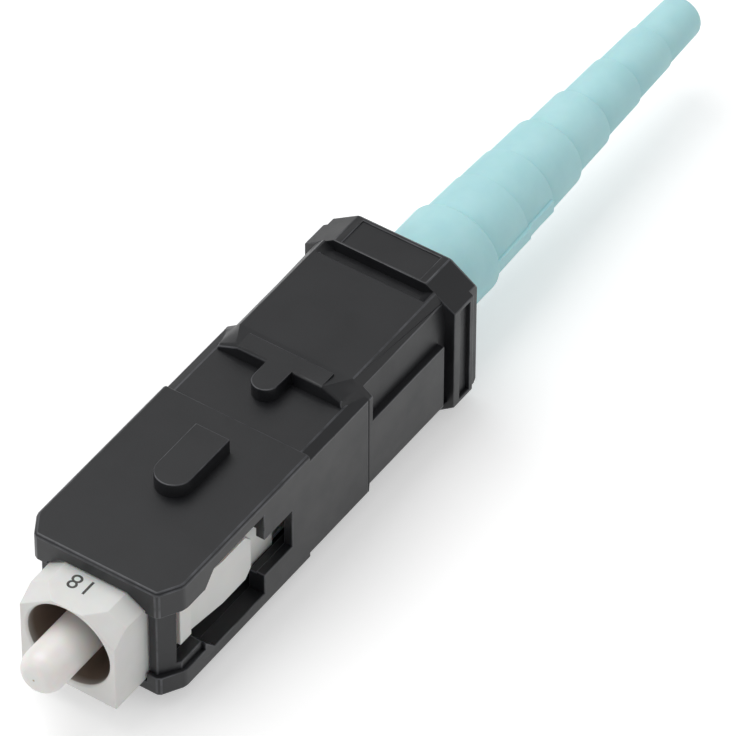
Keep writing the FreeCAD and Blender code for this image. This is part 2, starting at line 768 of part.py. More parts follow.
    # the side windows
    neck, wide = g.window_neck_height / 2, g.window_wide_height / 2
    across("Pocket", body, [[
        (g.window_start, neck), (g.window_neck_end, neck), (g.window_wide_start, wide),
        (g.window_wide_end, wide), (g.window_wide_end, g.window_tail_top),
        (g.window_tail_end, g.window_tail_top), (g.window_tail_end, -g.window_tail_drop),
        (g.window_wide_end, -g.window_tail_drop), (g.window_wide_end, -wide),
        (g.window_wide_start, -wide), (g.window_neck_end, -neck), (g.window_start, -neck)]], outer * 2)
    return body


# ---------------------------------------------------------------- the boot

def make_boot():
    body = new_body("boot")
    start, base, cable = retainer_flange_back + g.boot_front_gap, g.boot_base_diameter / 2, g.buffer_bore / 2
    pitch = (g.boot_end - g.boot_base_end) / BOOT_RINGS
    rings = [(getattr(g, f"boot_ring_{ring + 1}") / 2, g.boot_base_end + pitch * ring)
             for ring in range(BOOT_RINGS)]
    outline = [(base, start), (base, g.boot_base_end)]
    for radius, front in rings:
        back = front + pitch
        outline += [(radius, front), (radius, back - g.boot_lip), (radius - g.boot_lip, back)]
    room, float_end = g.boot_room / 2, g.float_travel + g.boot_wall_gap
    cam, crimp = g.cam_neck_diameter / 2 + room, g.crimp_diameter / 2 + g.boot_wall_gap
    seat, barrel = g.barrel_end + g.boot_wall_gap, g.barrel_diameter / 2
    outline += [(cable, g.boot_end), (cable, crimp_back + float_end), (crimp, crimp_back + float_end),
                (crimp, g.cam_end + float_end), (cam, g.cam_end + float_end), (cam, seat),
                (barrel, seat), (barrel, start)]
    turn("Revolution", body, outline)

    # a low rib on each side, over the first two rings
    rib, root = g.boot_rib_width / 2, barrel + g.boot_wall_gap
    for (radius, front), back in zip(rings, (g.boot_base_end + pitch, g.boot_rib_end)):
        proud = radius + g.boot_rib_proud
        along("Pad", body, [rectangle(root, proud, -rib, rib), rectangle(-proud, -root, -rib, rib)],
              front, back)
    return body


pieces = [
    make_ferrule(),
    make_fibre(),
    make_holder(),
    make_splice_half("splice_bar_lower", upper=False),
    make_splice_half("splice_bar_upper", upper=True),
    make_cam(),
    make_lead_in_tube(),
    make_crimp_tube(),
    make_spring(),
    make_retainer(),
    make_plug_frame(),
    make_grip(),
    make_boot(),
]
doc.recompute()

faults = [f"{item.Name}: {item.State}" for item in doc.Objects
          if "Invalid" in item.State or "Error" in item.State]
faults += [f"{piece.Label} has no valid shape" for piece in pieces
           if piece.Shape.isNull() or not piece.Shape.isValid()]
if faults:
    raise RuntimeError("; ".join(faults))

os.makedirs("parts", exist_ok=True)
for piece in pieces:
    piece.Shape.exportStep(f"parts/{piece.Label}.step")
    box = piece.Shape.BoundBox
    print(f"{piece.Label}: {len(piece.Shape.Solids)} solid, {piece.Shape.Volume:.2f} mm3, "
          f"x {box.XMin:.2f}..{box.XMax:.2f}, y {box.YMin:.2f}..{box.YMax:.2f}, "
          f"z {box.ZMin:.2f}..{box.ZMax:.2f}")
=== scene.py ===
# %% [markdown]
# # A fibre connector plug
#
# This notebook dresses the plug's engineering model for a product picture.
# The model comes first and is never moved: every piece below rides on one of its bodies,
# so that the grip can slide and the ferrule can float without anything being left behind.
# Everything is in metres, with +Y from the mating end to the boot and +Z on the key's side.

# %% Load the model
import json
import math

import bmesh
import bpy
from mathutils import Matrix, Vector

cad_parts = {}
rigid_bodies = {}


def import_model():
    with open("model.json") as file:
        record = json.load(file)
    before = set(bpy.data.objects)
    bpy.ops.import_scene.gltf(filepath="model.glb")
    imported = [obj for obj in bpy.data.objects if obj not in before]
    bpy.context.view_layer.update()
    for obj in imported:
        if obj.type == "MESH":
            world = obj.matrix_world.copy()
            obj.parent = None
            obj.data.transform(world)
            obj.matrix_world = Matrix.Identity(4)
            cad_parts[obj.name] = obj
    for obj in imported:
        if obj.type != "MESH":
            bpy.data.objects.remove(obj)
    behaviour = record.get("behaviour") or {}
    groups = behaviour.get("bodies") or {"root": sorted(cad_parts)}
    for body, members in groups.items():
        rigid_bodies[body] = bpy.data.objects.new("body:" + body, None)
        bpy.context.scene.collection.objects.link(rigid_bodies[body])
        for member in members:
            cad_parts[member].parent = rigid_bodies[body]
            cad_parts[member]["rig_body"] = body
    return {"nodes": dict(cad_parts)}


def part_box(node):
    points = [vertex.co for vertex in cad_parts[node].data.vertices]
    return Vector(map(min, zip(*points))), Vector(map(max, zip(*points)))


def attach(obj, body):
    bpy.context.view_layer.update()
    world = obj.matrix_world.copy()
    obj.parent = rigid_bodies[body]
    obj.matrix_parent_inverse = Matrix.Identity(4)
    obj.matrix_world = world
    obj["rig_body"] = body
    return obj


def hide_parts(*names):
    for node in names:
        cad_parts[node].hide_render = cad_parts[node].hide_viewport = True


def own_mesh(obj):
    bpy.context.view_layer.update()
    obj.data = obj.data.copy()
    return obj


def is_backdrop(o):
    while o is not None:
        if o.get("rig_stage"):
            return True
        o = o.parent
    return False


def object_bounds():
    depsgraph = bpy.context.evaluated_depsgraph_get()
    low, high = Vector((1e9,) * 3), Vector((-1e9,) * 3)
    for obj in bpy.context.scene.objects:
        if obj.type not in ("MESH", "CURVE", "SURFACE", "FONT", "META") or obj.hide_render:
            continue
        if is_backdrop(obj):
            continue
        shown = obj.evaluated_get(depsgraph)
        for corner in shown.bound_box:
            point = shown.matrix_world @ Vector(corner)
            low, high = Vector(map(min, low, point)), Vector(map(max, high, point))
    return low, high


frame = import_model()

MM = 0.001
cad_box = [list(corner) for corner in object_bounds()]
scene = bpy.context.scene
print("the model measures", [round((high - low) / MM, 1) for low, high in zip(*cad_box)], "mm")

# %% [markdown]
# ## Two small helpers
#
# Colours are written as the hex values a designer would pick from a colour card.
# Blender's shaders work in linear light, so one function turns the one into the other.
# A second one adds a shader node with its settings and links in a single line.

# %% Colour and node helpers
CODE_MAX = 255
DARK_LIMIT = 0.04045
DARK_SLOPE = 12.92
CURVE_OFFSET = 0.055
CURVE_POWER = 2.4
OPAQUE = 1.0
WHITE = (1.0, 1.0, 1.0, OPAQUE)


def linear_light(share):
    """One sRGB channel, from 0 to 1, in linear light."""
    if share <= DARK_LIMIT:
        return share / DARK_SLOPE
    return ((share + CURVE_OFFSET) / (1 + CURVE_OFFSET)) ** CURVE_POWER


def tone(code):
    """A linear colour from an sRGB hex value such as '36383C'."""
    return (*(linear_light(int(code[i:i + 2], 16) / CODE_MAX) for i in (0, 2, 4)), OPAQUE)


def put(tree, kind, inputs, **settings):
    """Adds a shader node. An input takes a number, a colour, or another node's output."""
    made = tree.nodes.new("ShaderNode" + kind)
    for name, value in settings.items():
        setattr(made, name, value)
    for key, value in inputs.items():
        if isinstance(value, bpy.types.NodeSocket):
            tree.links.new(value, made.inputs[key])
        else:
            made.inputs[key].default_value = value
    return made


print("the card's mid grey is", round(tone("808080")[0], 3), "in linear light")

# %% [markdown]
# ## What moulded plastic looks like
#
# All the plastic pieces come out of an injection mould, and they differ in three things:
# the colour of the pellets, how fine the mould's steel was finished, and how far light gets into the plastic.
# A picture of each plastic could be wrapped round its piece, but it would blur up close and show its seams.
# So one recipe of noise takes those three instead. A grain the size of the spark-eroded steel's pits
# breaks up the gloss, and a slow drift of colour and gloss stands for flow marks and handling.

# %% The moulded recipe
COLOUR_BAND = (0.35, 0.65)
GLOSS_BAND = (0.3, 0.7)
GLOSS_SPREAD = 0.05
PLASTIC_IOR = 1.5


def moulded(name, light, dark, gloss, grain_mm, relief_mm, drift_mm=2.5, glow=0.0, glow_mm=0.5):
    """A moulded finish: two shades that it drifts between, its roughness, its grain and how it glows."""
    made = bpy.data.materials.new(name)
    made.use_nodes = True
    tree = made.node_tree
    tree.nodes.clear()
    place = put(tree, "TexCoord", {}).outputs["Object"]
    drift = put(tree, "TexNoise", {
        "Vector": place, "Scale": 1 / (drift_mm * MM), "Detail": 3.0, "Roughness": 0.6}).outputs["Fac"]
    grain = put(tree, "TexNoise", {
        "Vector": place, "Scale": 1 / (grain_mm * MM), "Detail": 2.0, "Roughness": 0.7}).outputs["Fac"]
    shade = put(tree, "ValToRGB", {"Fac": drift})
    for stop, position, code in zip(shade.color_ramp.elements, COLOUR_BAND, (dark, light)):
        stop.position = position
        stop.color = tone(code)
    rough = put(tree, "MapRange", {
        "Value": drift, "From Min": GLOSS_BAND[0], "From Max": GLOSS_BAND[1],
        "To Min": gloss - GLOSS_SPREAD, "To Max": gloss + GLOSS_SPREAD})
    bump = put(tree, "Bump", {"Height": grain, "Distance": relief_mm * MM, "Strength": 0.6})
    shader = put(tree, "BsdfPrincipled", {
        "Base Color": shade.outputs["Color"], "Roughness": rough.outputs["Result"],
        "Normal": bump.outputs["Normal"], "IOR": PLASTIC_IOR,
        "Subsurface Weight": glow, "Subsurface Scale": glow_mm * MM})
    put(tree, "OutputMaterial", {"Surface": shader.outputs["BSDF"]})
    return made


print("plastic bends light by", PLASTIC_IOR, "and its gloss drifts by", GLOSS_SPREAD, "each way")

# %% [markdown]
# ## The plastics
#
# - The grip is black PBT from a spark-eroded mould: a deep, matt grey-black with soft highlights.
# - Its rounded edges are painted a lighter grey than its faces, as a painted highlight, and are a little
#   glossier.
# - The plug frame and the lead-in tube are uncoloured PBT from a smoother mould: ivory and satin,
#   and a little light gets in.
# - The boot is an aqua thermoplastic elastomer: soft, satin and slightly glowing at its thin edges.
# - The splice and its holder are natural PEI, a clear amber plastic that shows a fitter the light
#   from a bad joint. The stub of fibre is too thin to tell from it, and shares it.
# - The spring's retainer is grey PBT, and the cam is black PBT like the grip.

# %% Mix the plastics
BLACK_PBT = moulded(
    "black_pbt_spark_eroded", "17181B", "141518", gloss=0.42, grain_mm=0.11, relief_mm=0.006)
IVORY_PBT = moulded(
    "ivory_pbt_satin_moulded", "EBEBE9", "E6E6E3", gloss=0.42, grain_mm=0.16, relief_mm=0.003, glow=0.2)
AQUA_TPE = moulded(
    "aqua_elastomer_moulded", "B8E6EA", "AFE0E5", gloss=0.55, grain_mm=0.2, relief_mm=0.006, glow=0.15)
# The grip's rounds are painted a lighter grey: a painted highlight along each edge, a little glossier too.
PAINTED_EDGE_HIGHLIGHT = moulded(
    "black_pbt_painted_edge_highlight", "4C4D51", "2C2D30", gloss=0.32, grain_mm=0.11, relief_mm=0.003, drift_mm=1.2)
AMBER_PEI = moulded(
    "amber_pei_moulded", "C9B79A", "C2AF90", gloss=0.3, grain_mm=0.2, relief_mm=0.002, glow=0.3)
GREY_PBT = moulded(
    "grey_pbt_moulded", "6A6C70", "636569", gloss=0.45, grain_mm=0.12, relief_mm=0.004)
for plastic in (BLACK_PBT, IVORY_PBT, AQUA_TPE, PAINTED_EDGE_HIGHLIGHT, AMBER_PEI, GREY_PBT):
    print("mixed", plastic.name)

# %% [markdown]
# The ferrule is zirconia, a ceramic: pressed, sintered and ground to a ten-thousandth of a millimetre.
# It is dense and white, it lets a little light in, and its polish gives one small soft highlight.
# The moulded recipe serves it too, with a grain too fine to see and a stronger bend of the light.

# %% The zirconia
ZIRCONIA_IOR = 1.7
ZIRCONIA = moulded(
    "zirconia_ground_and_polished", "F4F3F0", "F0EEEA", gloss=0.34, grain_mm=0.05, relief_mm=0.0005,
    glow=0.5, glow_mm=0.8)
ZIRCONIA.node_tree.nodes["Principled BSDF"].inputs["IOR"].default_value = ZIRCONIA_IOR
print("mixed", ZIRCONIA.name)

# %% [markdown]
# The mouth of the plug frame is moulded over a core pin, and little light gets in beside the ferrule.
# So the frame's own colour is painted darker and brown inside the mouth, as painted shade,
# measured from the axis, over the first half millimetre.
# A separate brown lining would be a piece that the real plug doesn't have.

# %% Darken the frame's mouth
MOUTH_RADIUS = 2.52 * MM
MOUTH_EDGE = 0.02 * MM
MOUTH_DEPTH = 0.6 * MM
SHADE_AT_THE_LIP = 0.55

tree = IVORY_PBT.node_tree
shader = tree.nodes["Principled BSDF"]
ivory = shader.inputs["Base Color"].links[0].from_socket
apart = put(tree, "SeparateXYZ", {"Vector": put(tree, "TexCoord", {}).outputs["Object"]})
across = put(tree, "CombineXYZ", {"X": apart.outputs["X"], "Z": apart.outputs["Z"]})
reach = put(tree, "VectorMath", {0: across.outputs["Vector"]}, operation="LENGTH")
within = put(tree, "MapRange", {
    "Value": reach.outputs["Value"], "From Min": MOUTH_RADIUS, "From Max": MOUTH_RADIUS - MOUTH_EDGE})
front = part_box("plug_frame")[0][1]
deep = put(tree, "MapRange", {
    "Value": apart.outputs["Y"], "From Min": front, "From Max": front + MOUTH_DEPTH,
    "To Min": SHADE_AT_THE_LIP})
# The mask below is painted shade: it mixes the ivory towards brown inside the mouth, more so deeper in.
painted_shade_mask = put(tree, "Math", {0: within.outputs["Result"], 1: deep.outputs["Result"]}, operation="MULTIPLY")
mouth = put(tree, "MixRGB", {"Fac": painted_shade_mask.outputs["Value"], "Color1": ivory, "Color2": tone("7A6A5F")})
tree.links.new(mouth.outputs["Color"], shader.inputs["Base Color"])
print("the mouth darkens within", round(MOUTH_RADIUS / MM, 2), "mm of the axis")

# %% [markdown]
# ## The metals
#
# Two of the pieces inside are metal: an aluminium tube, which is crimped on the fibre, and a steel spring.
# Drawing leaves fine lines along the metal, which spread its highlights sideways.
# Stretched noise in the roughness gives those lines, and besides that a metal needs no more than its colour.

# %% Mix the metals
LINE_STRETCH = 0.04
LINE_GLOSS = 0.08


def drawn_metal(name, code, gloss, line_mm):
    """A metal with fine lines along the axis, where its roughness swings up and down."""
    made = bpy.data.materials.new(name)
    made.use_nodes = True
    tree = made.node_tree
    shader = tree.nodes["Principled BSDF"]
    place = put(tree, "TexCoord", {}).outputs["Object"]
    along = put(tree, "Mapping", {"Vector": place, "Scale": (1.0, LINE_STRETCH, 1.0)})
    lines = put(tree, "TexNoise", {
        "Vector": along.outputs["Vector"], "Scale": 1 / (line_mm * MM), "Detail": 2.0})
    rough = put(tree, "MapRange", {
        "Value": lines.outputs["Fac"], "To Min": gloss - LINE_GLOSS, "To Max": gloss + LINE_GLOSS})
    tree.links.new(rough.outputs["Result"], shader.inputs["Roughness"])
    shader.inputs["Base Color"].default_value = tone(code)
    shader.inputs["Metallic"].default_value = 1.0
    return made


ALUMINIUM = drawn_metal("drawn_aluminium", "C9CACC", gloss=0.3, line_mm=0.05)
SPRING_WIRE = drawn_metal("drawn_spring_steel", "A9AAAD", gloss=0.25, line_mm=0.04)
for metal in (ALUMINIUM, SPRING_WIRE):
    print("mixed", metal.name)

# %% [markdown]
# ## Finish the model's own pieces
#
# The model has a piece for everything in the plug. The pieces inside have the right shape already, so they
# only get a finish, in the material slots that they came with. The ones in view get a finer copy later.

# %% Finish every node
FINISHES = {
    "ferrule": ZIRCONIA,
    "fibre_stub": AMBER_PEI,
    "ferrule_holder": AMBER_PEI,
    "splice_bar_lower": AMBER_PEI,
    "splice_bar_upper": AMBER_PEI,
    "cam_sleeve": BLACK_PBT,
    "lead_in_tube": IVORY_PBT,
    "crimp_tube": ALUMINIUM,
    "coil_spring": SPRING_WIRE,
    "spring_retainer": GREY_PBT,
    "plug_frame": IVORY_PBT,
    "outer_housing": BLACK_PBT,
    "boot": AQUA_TPE,
}
for name, finish in FINISHES.items():
    for slot in frame["nodes"][name].material_slots:
        slot.material = finish
print("finished", len(FINISHES), "nodes")

# %% [markdown]
# ## Rounding the moulded edges
#
# No moulded edge is truly sharp: the tool's own corners give it a radius of a few hundredths of a millimetre,
# and that thin round is what catches the light along every edge of the grip.
# A bevel in the shader would only pretend, and leave the outline sharp, so the mesh itself gets the rounds.
# The model's mesh can't be changed, so a copy of it is first cleaned into large faces.

# %% Clean a copy of a node's mesh
WELD = 0.01 * MM
FLAT_WITHIN = math.radians(0.3)


def large_faces(node, reshape=None):
    """A copy of the node's mesh, with the facets of each flat face merged into one."""
    work = bmesh.new()
    work.from_mesh(frame["nodes"][node].data)
    if reshape:
        for corner in work.verts:
            corner.co = reshape(*corner.co)
    bmesh.ops.remove_doubles(work, verts=work.verts, dist=WELD)
    bmesh.ops.dissolve_limit(work, angle_limit=FLAT_WITHIN, verts=work.verts, edges=work.edges)
    return work


print("points closer than", WELD / MM, "mm become one")

# %% [markdown]
# Only edges that stand out are rounded, because a mould's inner corners stay crisp; so only these rounds take
# the painted edge highlight.
# An edge next to one that is shorter than the round has no room for it and would fold over: it stays sharp.

# %% Round the outer edges
SHARP = math.radians(24.0)
ROUND_STEPS = 2
ROUND_PROFILE = 0.5
FLAT_FACE_WEIGHT = 100


def outer_edges(work, radius):
    """The sharp edges that stand out and have room for a round of this radius."""
    crowded = {corner for edge in work.edges if edge.calc_length() < radius for corner in edge.verts}
    return [edge for edge in work.edges
            if len(edge.link_faces) == 2 and edge.calc_face_angle() > SHARP
            and edge.is_convex and not crowded.intersection(edge.verts)]


def even_shading(piece):
    """Keeps large faces flat to the light, and leaves the bend to the small faces of the rounds."""
    even = piece.modifiers.new("even_shading", "WEIGHTED_NORMAL")
    even.keep_sharp = True
    even.weight = FLAT_FACE_WEIGHT


def rounded(node, radius_mm, edge_highlight_paint=None, reshape=None):
    """Makes a copy of a node with rounded outer edges, which then stands for the node. Given a painted edge
    highlight, the rounds take it.
    """
    work = large_faces(node, reshape)
    edges = outer_edges(work, radius_mm * MM)
    bmesh.ops.bevel(work, geom=edges, offset=radius_mm * MM, offset_type="OFFSET", segments=ROUND_STEPS,
                    profile=ROUND_PROFILE, affect="EDGES", clamp_overlap=False, miter_outer="ARC",
                    material=1 if edge_highlight_paint else -1)
    shape = bpy.data.meshes.new(node + "_rounded")
    work.to_mesh(shape)
    work.free()
    for face in shape.polygons:
        face.use_smooth = True
    shape.set_sharp_from_angle(angle=SHARP)
    shape.materials.append(FINISHES[node])
    if edge_highlight_paint:
        shape.materials.append(edge_highlight_paint)
    piece = bpy.data.objects.new(node + "_rounded", shape)
    scene.collection.objects.link(piece)
    even_shading(piece)
    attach(piece, frame["nodes"][node]["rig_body"])
    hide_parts(node)
    print(piece.name, len(shape.polygons), "faces")


print("an edge is sharp where it turns by more than", round(math.degrees(SHARP)), "degrees")

# %% [markdown]
# ## The table, the light and the camera
#
# The plug lies on a white table, and the picture's ground stays white without more light on the plug:
# the table has a little light of its own, which only the camera and mirrors see.
# Its shadow stays, because that light is added to what the lamps give the table.

# %% Table
TABLE_SIZE = 3.0
TABLE_GLOW = 0.4

low, high = (Vector(corner) for corner in cad_box)
middle = (low + high) / 2
bpy.ops.mesh.primitive_plane_add(size=TABLE_SIZE, location=(middle.x, middle.y, low.z))
table = bpy.context.object
table.name = "table"
table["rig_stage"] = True
TABLE_TOP = bpy.data.materials.new("white_laminate_table")
TABLE_TOP.use_nodes = True
tree = TABLE_TOP.node_tree
tree.nodes.clear()
rays = put(tree, "LightPath", {})
lit = put(tree, "BsdfDiffuse", {"Color": tone("E8E8E8")})
own = put(tree, "Emission", {"Color": WHITE, "Strength": TABLE_GLOW})
both = put(tree, "AddShader", {0: lit.outputs["BSDF"], 1: own.outputs["Emission"]})
seen = put(tree, "Math", {0: rays.outputs["Is Camera Ray"], 1: rays.outputs["Is Glossy Ray"]})
pick = put(tree, "MixShader", {
    "Fac": seen.outputs["Value"], 1: lit.outputs["BSDF"], 2: both.outputs["Shader"]})
put(tree, "OutputMaterial", {"Surface": pick.outputs["Shader"]})
table.data.materials.append(TABLE_TOP)
print("the table's top is", round(-low.z / MM, 2), "mm below the plug's axis")

# %% [markdown]
# A product picture is lit softly. A wide lamp stands high on the left, a smaller one in front opens up the
# frame's mouth, and a weak one on the right keeps the far side from going black.
# The room around them gives a plain, even light.

# %% Light
ROOM_LIGHT = 0.5
BACKDROP_LIGHT = 1.0
LAMPS = {
    "softbox_left": {"place": (-0.16, 0.03, 0.33), "size": 0.3, "watts": 0.66},
    "softbox_front": {"place": (-0.14, -0.25, 0.20), "size": 0.12, "watts": 0.1},
    "softbox_right": {"place": (0.25, 0.16, 0.16), "size": 0.16, "watts": 0.06},
}

world = bpy.data.worlds.new("studio")
scene.world = world
world.use_nodes = True
tree = world.node_tree
tree.nodes.clear()
rays = put(tree, "LightPath", {})
room = put(tree, "Background", {"Color": WHITE, "Strength": ROOM_LIGHT})
backdrop = put(tree, "Background", {"Color": WHITE, "Strength": BACKDROP_LIGHT})
pick = put(tree, "MixShader", {
    "Fac": rays.outputs["Is Camera Ray"], 1: room.outputs["Background"], 2: backdrop.outputs["Background"]})
put(tree, "OutputWorld", {"Surface": pick.outputs["Shader"]})

for name, setting in LAMPS.items():
    lamp = bpy.data.lights.new(name, "AREA")
    lamp.size = setting["size"]
    lamp.energy = setting["watts"]
    holder = bpy.data.objects.new(name, lamp)
    holder.location = setting["place"]
    holder.rotation_euler = (middle - Vector(setting["place"])).to_track_quat("-Z", "Y").to_euler()
    scene.collection.objects.link(holder)
    print("lit", name, "with", setting["watts"], "W")

# %% [markdown]
# The camera looks down on the mating end from the right, with a long lens from less than half a metre away.
# That is close for such a lens, so the near end of the plug still looks larger than the boot's tip.

# %% Camera
LENS = 355.855
CLIP_START = 0.01
CAMERA_AT = Vector((150.384, -197.635, 263.077)) * MM
AZIMUTH = 34.165
ELEVATION = 44.733
ROLL = 0.184
LEVEL = 90

camera_data = bpy.data.cameras.new("camera")
camera_data.lens = LENS
camera_data.clip_start = CLIP_START
camera = bpy.data.objects.new("camera", camera_data)
scene.collection.objects.link(camera)
scene.camera = camera
camera.location = CAMERA_AT
camera.rotation_euler = (Matrix.Rotation(math.radians(AZIMUTH), 3, "Z")
                         @ Matrix.Rotation(math.radians(LEVEL - ELEVATION), 3, "X")
                         @ Matrix.Rotation(math.radians(ROLL), 3, "Z")).to_euler()
scene.view_settings.view_transform = "Standard"
print("the camera is", round((CAMERA_AT - middle).length / MM), "mm from the plug")

# %% [markdown]
# ## The grip
#
# The grip is the black shell that fingers hold, with the key on top, the ledge, the windows and the collar.
# The model has all of its forms, so its rounded copy needs no new ones. Two kinds of corner move in it.
# The latch boss's groove breaks through each front corner in a hair-thin slit, which the real grip hasn't,
# and the slot before the collar is twice as deep as it should be, so its bed comes up by half.

# %% Dress the grip
NEAR = 0.01 * MM
SLIT_FROM, SLIT_TO = 0.8 * MM, 0.9 * MM
SLIT_OPEN_X = 3.95 * MM
SLIT_CLOSED_X, SLIT_CLOSED_Y = 3.848 * MM, 0.74 * MM
SLOT_FROM, SLOT_TO = 24.1 * MM, 25 * MM
SLOT_HALF = 2.8 * MM
SLOT_BED = 3.53 * MM
SLOT_BED_RAISED = 3.9 * MM
GRIP_ROUND_MM = 0.06


def grip_corner(x, y, z):
    """Closes the slit at each front corner, and raises the bed of the slot before the collar."""
    if SLIT_FROM < y < SLIT_TO and abs(abs(x) - SLIT_OPEN_X) < NEAR:
        x = math.copysign(SLIT_CLOSED_X, x)
        y = SLIT_CLOSED_Y
    if SLOT_FROM < y < SLOT_TO and abs(abs(z) - SLOT_BED) < NEAR and abs(x) < SLOT_HALF:
        z = math.copysign(SLOT_BED_RAISED, z)
    return x, y, z


# Its rounds take the lighter grey of the painted edge highlight.
rounded("outer_housing", GRIP_ROUND_MM, edge_highlight_paint=PAINTED_EDGE_HIGHLIGHT, reshape=grip_corner)

# %% [markdown]
# ## The boot
#
# The boot is the soft sleeve that keeps the cable from being bent sharply where it leaves the plug.
# Its rings get smaller towards the tip, and every ring ends in a round before the next one starts.
# A screw modifier could turn it, but the rings' outline comes from code anyway, so the code turns it too.
# The outline takes the model's own sizes: a ray sent at the axis from above finds the radius of each ring,
# and rays sent out from the axis find the steps of the bore. Only the rounds and the notches are new.

# %% Measure a turned piece
FAR_OUT = 0.05
BORE_STEP = 0.1 * MM
BORE_CHANGE = BORE_STEP / 5


def radius_at(node, y, outwards=False):
    """The outer radius of a turned node at a place along the axis, or the inner one."""
    start = Vector((0, y, 0 if outwards else FAR_OUT))
    way = Vector((0, 0, 1 if outwards else -1))
    hit, place, *_ = frame["nodes"][node].ray_cast(start, way)
    return abs(place.z) if hit else 0.0


def bore_wall(node):
    """The points of a turned node's bore, from its far end to its near end."""
    near_end, far_end = (corner[1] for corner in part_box(node))
    points, place = [], far_end
    while place > near_end:
        inner = radius_at(node, place - BORE_STEP / 2, outwards=True)
        if not points:
            points = [(inner, far_end)]
        elif abs(inner - points[-1][0]) > BORE_CHANGE:
            points += [(points[-1][0], place), (inner, place)]
        place -= BORE_STEP
    return points + [(points[-1][0], near_end)]


boot_front, boot_tip = (corner[1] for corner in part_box("boot"))
print("the boot is", round((boot_tip - boot_front) / MM, 1), "mm long, and its bore at the tip is",
      round(2 * bore_wall("boot")[0][0] / MM, 2), "mm across")

# %% Turn an outline
TURN_SIDES = 128
CREASE = math.radians(50)


def turned(name, outline, finish):
    """A closed ring-shaped piece from a closed outline of (radius, y) points."""
    count = len(outline)
    turns = [2 * math.pi * k / TURN_SIDES for k in range(TURN_SIDES)]
    points = [(r * math.sin(turn), y, r * math.cos(turn)) for turn in turns for r, y in outline]
    faces = []
    for near in range(TURN_SIDES):
        far = (near + 1) % TURN_SIDES
        for i in range(count):
            after = (i + 1) % count
            faces.append((near * count + i, near * count + after, far * count + after, far * count + i))
    shape = bpy.data.meshes.new(name)
    shape.from_pydata(points, [], faces)
    for face in shape.polygons:
        face.use_smooth = True
    shape.set_sharp_from_angle(angle=CREASE)
    shape.materials.append(finish)
    piece = bpy.data.objects.new(name, shape)
    scene.collection.objects.link(piece)
    even_shading(piece)
    print(name, "has", len(faces), "faces")
    return piece


# %% [markdown]
# Each ring has a little draft, so that the mould lets it go, a thin notch where it starts, and a round end.
# The last ring's round is larger, and its flat end goes in to the bore.

# %% Turn the boot
RINGS_START = 32.1 * MM
RING_ENDS = [place * MM for place in (35.2, 37.8, 40.9, 44.1, 47.5, 50.8)]
DRAFT = 0.08 * MM
NOTCH = 0.02 * MM
SHOULDER = 0.22 * MM
TIP_ROUND = 0.55 * MM
ARC_STEPS = 6


def quarter_round(radius, back, bend):
    """The points of a round that ends a ring: from its side to its far face."""
    turns = (math.pi / 2 * step / ARC_STEPS for step in range(ARC_STEPS + 1))
    return [(radius - bend + bend * math.cos(turn), back - bend + bend * math.sin(turn)) for turn in turns]


starts = [RINGS_START] + RING_ENDS
ends = RING_ENDS + [boot_tip]
radii = [radius_at("boot", (start + end) / 2) for start, end in zip(starts, ends)]
collar = radius_at("boot", (boot_front + RINGS_START) / 2)
outline = [(collar, boot_front)] + quarter_round(collar, RINGS_START, collar - radii[0])
for radius, end, after in zip(radii, ends, radii[1:] + [0.0]):
    start = outline[-1][1]
    outline += [(radius - NOTCH, start), (radius, start + NOTCH)]
    bend = min(SHOULDER, max(radius - DRAFT - after, 2 * NOTCH)) if after else TIP_ROUND
    outline += quarter_round(radius - DRAFT, end, bend)
boot = turned("boot_turned", outline + bore_wall("boot"), AQUA_TPE)
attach(boot, frame["nodes"]["boot"]["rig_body"])
print("the boot's rings are", [round(2 * radius / MM, 2) for radius in radii], "mm across")

# %% [markdown]
# A slim rib runs along each side of the first two rings, where the two halves of the tool meet.
# It is a bar of four corners at four places along the boot, with a small round on all its edges.
# It follows the model's own rib: a ray from the side finds how far that one stands out.

# %% The two slim ribs
RIB_END = 37.6 * MM
RIB_STEP = 0.1 * MM
RIB_HALF = 0.4 * MM
RIB_ROOT = 0.3 * MM
RIB_ROUND = 0.03 * MM
RIB_SUNK = 0.06 * MM
RIB_PLACES = (RINGS_START + NOTCH, RING_ENDS[0] - NOTCH, RING_ENDS[0] + RIB_STEP, RIB_END - NOTCH)
RIB_NAMES = {1: "boot_rib_right", -1: "boot_rib_left"}


def rib_mesh(side):
    """A bar along the boot's side, a little lower than the model's rib."""
    work = bmesh.new()
    rows = []
    for y in RIB_PLACES:
        hit = frame["nodes"]["boot"].ray_cast(Vector((side * FAR_OUT, y, 0)), Vector((-side, 0, 0)))[1]
        reach = hit.x - side * RIB_SUNK
        root = reach - side * RIB_ROOT
        corners = (root, -RIB_HALF), (reach, -RIB_HALF), (reach, RIB_HALF), (root, RIB_HALF)
        rows.append([work.verts.new((x, y, z)) for x, z in corners])
    for near_row, far_row in zip(rows, rows[1:]):
        for k, corner in enumerate(near_row):
            after = (k + 1) % len(near_row)
            work.faces.new((corner, near_row[after], far_row[after], far_row[k]))
    work.faces.new(rows[0])
    work.faces.new(rows[-1])
    bmesh.ops.recalc_face_normals(work, faces=work.faces)
    bmesh.ops.bevel(work, geom=work.edges[:], offset=RIB_ROUND, offset_type="OFFSET", segments=ROUND_STEPS,
                    profile=ROUND_PROFILE, affect="EDGES", clamp_overlap=True)
    mesh = bpy.data.meshes.new("boot_rib")
    work.to_mesh(mesh)
    work.free()
    mesh.materials.append(AQUA_TPE)
    return mesh


for side, name in RIB_NAMES.items():
    rib = bpy.data.objects.new(name, rib_mesh(side))
    scene.collection.objects.link(rib)
    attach(rib, frame["nodes"]["boot"]["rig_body"])
    print("made", rib.name)
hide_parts("boot")

